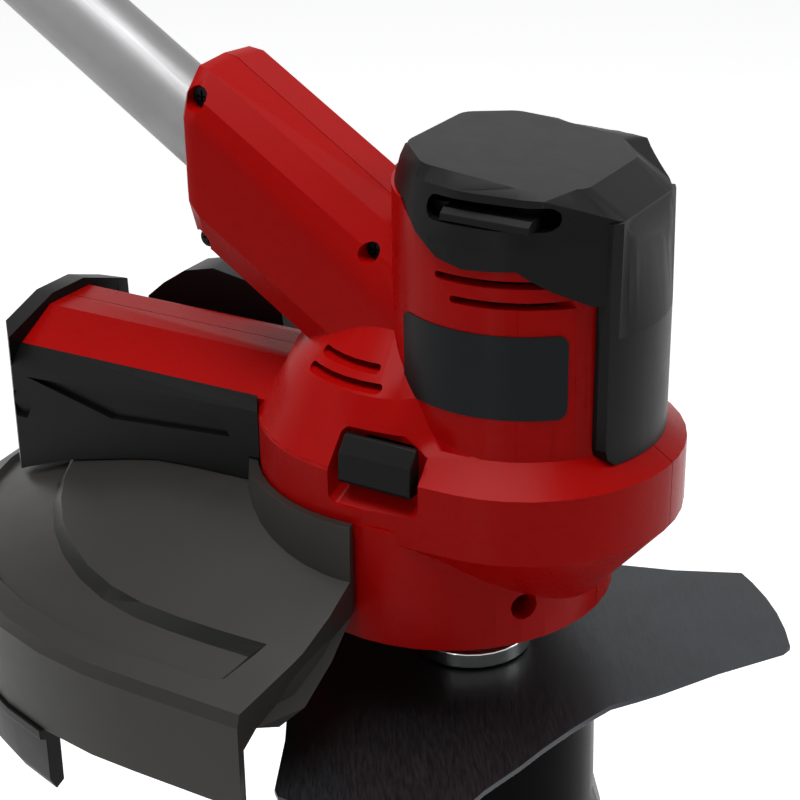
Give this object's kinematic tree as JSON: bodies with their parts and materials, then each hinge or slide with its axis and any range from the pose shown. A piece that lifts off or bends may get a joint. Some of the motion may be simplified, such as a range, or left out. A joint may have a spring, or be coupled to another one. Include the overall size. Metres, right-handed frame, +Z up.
{
  "type": "cordless brush cutter",
  "caption": "Battery brush cutter: motor in the head, toothed steel blade over a support cup, rear guard, straight shaft, loop handle, rear grip and slide-on battery.",
  "frame": {"origin": "centre of the harness eye's hole, which carries the tool", "axes": "+X from the battery towards the cutting head, +Y to the user's left, +Z up, with the blade's plane level"},
  "size_m": [1.426, 0.206, 1.029],
  "materials": {
    "red_plastic": "moulded, half gloss",
    "black_plastic": "moulded, satin",
    "guard_plastic": "moulded, satin warm grey",
    "soft_grip": "soft moulded cover",
    "tube_aluminium": "drawn tube, satin",
    "blade_steel": "dark hardened steel, ground edges",
    "bright_steel": "turned and polished",
    "gear_steel": "cut and hardened",
    "gear_plate_alloy": "die cast",
    "copper_winding": "enamelled copper wire",
    "board_green": "lacquered circuit board",
    "cell_blue": "sleeved battery cells"
  },
  "bodies": {
    "main": {"housing_left": "red_plastic", "housing_right": "red_plastic", "motor_cap": "black_plastic", "intake_screen": "black_plastic", "motor_stator": "copper_winding", "gear_plate": "gear_plate_alloy", "motor_bearing": "bright_steel", "lower_spindle_bearing": "bright_steel", "upper_spindle_bearing": "bright_steel", "guard": "guard_plastic", "guard_extension": "black_plastic", "guard_bracket": "black_plastic", "shaft_tube": "tube_aluminium", "harness_collar": "black_plastic", "handle_clamp_upper": "black_plastic", "handle_clamp_lower": "black_plastic", "clamp_bolt": "bright_steel", "rear_housing_left": "red_plastic", "rear_housing_right": "red_plastic", "grip_cover": "soft_grip", "trigger_pin": "bright_steel", "lock_off_pin": "bright_steel", "switch_module": "black_plastic", "control_board": "board_green", "terminal_block": "black_plastic"},
    "cutter": {"spindle": "bright_steel", "drive_gear": "gear_steel", "driver_flange": "bright_steel", "blade": "blade_steel", "clamping_washer": "bright_steel", "support_cup": "black_plastic", "blade_nut": "bright_steel"},
    "rotor": {"motor_rotor": "gear_steel", "pinion": "gear_steel", "cooling_fan": "black_plastic"},
    "spindle_lock": {"lock_button": "black_plastic"},
    "loop": {"loop_handle": "black_plastic", "loop_grip": "soft_grip"},
    "knob": {"clamp_knob": "black_plastic"},
    "trigger_lever": {"trigger": "black_plastic"},
    "lock_off": {"lock_off_lever": "red_plastic"},
    "speed": {"speed_button": "black_plastic"},
    "battery": {"battery_front_case": "black_plastic", "battery_rear_case": "black_plastic", "cell_block": "cell_blue"},
    "latch": {"battery_latch": "red_plastic"}
  },
  "joints": [
    {"name": "blade_spin", "type": "hinge", "parent": "main", "child": "cutter", "pos_m": [0.91013, 0, -0.71715], "axis": [0, 0, 1], "continuous": true},
    {"name": "motor_spin", "type": "hinge", "parent": "main", "child": "rotor", "pos_m": [0.92733, 0, -0.71715], "axis": [0, 0, 1], "continuous": true},
    {"name": "spindle_lock_press", "type": "slide", "parent": "main", "child": "spindle_lock", "axis": [0, 1, 0], "range_m": [0, 0.0025], "stiffness_N_per_m": 600, "springref_m": -0.004},
    {"name": "loop_tilt", "type": "hinge", "parent": "main", "child": "loop", "pos_m": [0.16176, 0, -0.11829], "axis": [0, 1, 0], "range_deg": [-20, 20]},
    {"name": "knob_turn", "type": "hinge", "parent": "main", "child": "knob", "pos_m": [0.16176, -0.045, -0.11829], "axis": [0, 1, 0], "range_deg": [0, 360]},
    {"name": "trigger_pull", "type": "hinge", "parent": "main", "child": "trigger_lever", "pos_m": [-0.1897, 0, 0.07087], "axis": [0, 1, 0], "range_deg": [0, 14], "stiffness_Nm_per_rad": 0.3, "springref_deg": -8.59},
    {"name": "lock_off_press", "type": "hinge", "parent": "main", "child": "lock_off", "pos_m": [-0.21967, 0, 0.11496], "axis": [0, 1, 0], "range_deg": [0, 10], "stiffness_Nm_per_rad": 0.2, "springref_deg": -8.59},
    {"name": "speed_press", "type": "slide", "parent": "main", "child": "speed", "axis": [-0.5388, 0, -0.8425], "range_m": [0, 0.0015], "stiffness_N_per_m": 500, "springref_m": -0.003},
    {"name": "battery_slide", "type": "slide", "parent": "main", "child": "battery", "axis": [0.5388, 0, 0.8425], "range_m": [0, 0.07]},
    {"name": "latch_press", "type": "slide", "parent": "battery", "child": "latch", "axis": [-0.8425, 0, 0.5388], "range_m": [0, 0.0035], "stiffness_N_per_m": 400, "springref_m": -0.004}
  ],
  "couplings": [
    {"joint": "motor_spin", "follows": "blade_spin", "ratio": -3.3}
  ]
}
